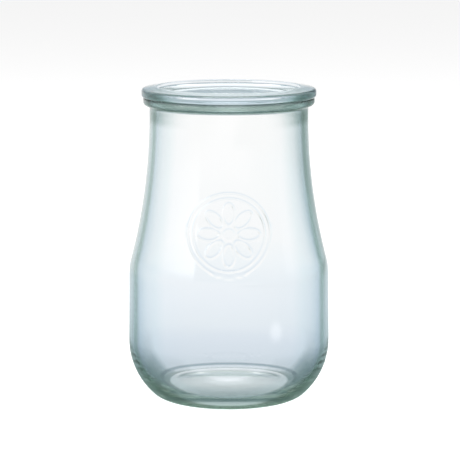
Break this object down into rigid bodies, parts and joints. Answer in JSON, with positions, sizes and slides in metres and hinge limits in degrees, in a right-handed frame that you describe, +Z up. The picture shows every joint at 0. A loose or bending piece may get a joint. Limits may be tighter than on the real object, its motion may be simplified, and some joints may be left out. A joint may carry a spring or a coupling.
{
  "type": "glass preserving jar with lid",
  "caption": "Tulip-shaped clear glass preserving jar, rounded at the heel and drawn in to a wide neck with a thick rim, with a loose shallow glass lid resting on the rim.",
  "frame": {"origin": "centre of the foot, on the surface that the jar stands on", "axes": "+Z up along the jar's axis; -Y is the front, the side that carries the raised ornament in the dressed model"},
  "size_m": [0.1264, 0.1264, 0.197],
  "materials": {
    "jar_glass": "clear pressed glass with a faint blue-green tint that deepens in the thick heel and rim",
    "lid_glass": "the same clear pressed glass, glossy"
  },
  "bodies": {
    "root": {"jar": "jar_glass", "lid": "lid_glass"}
  },
  "joints": []
}
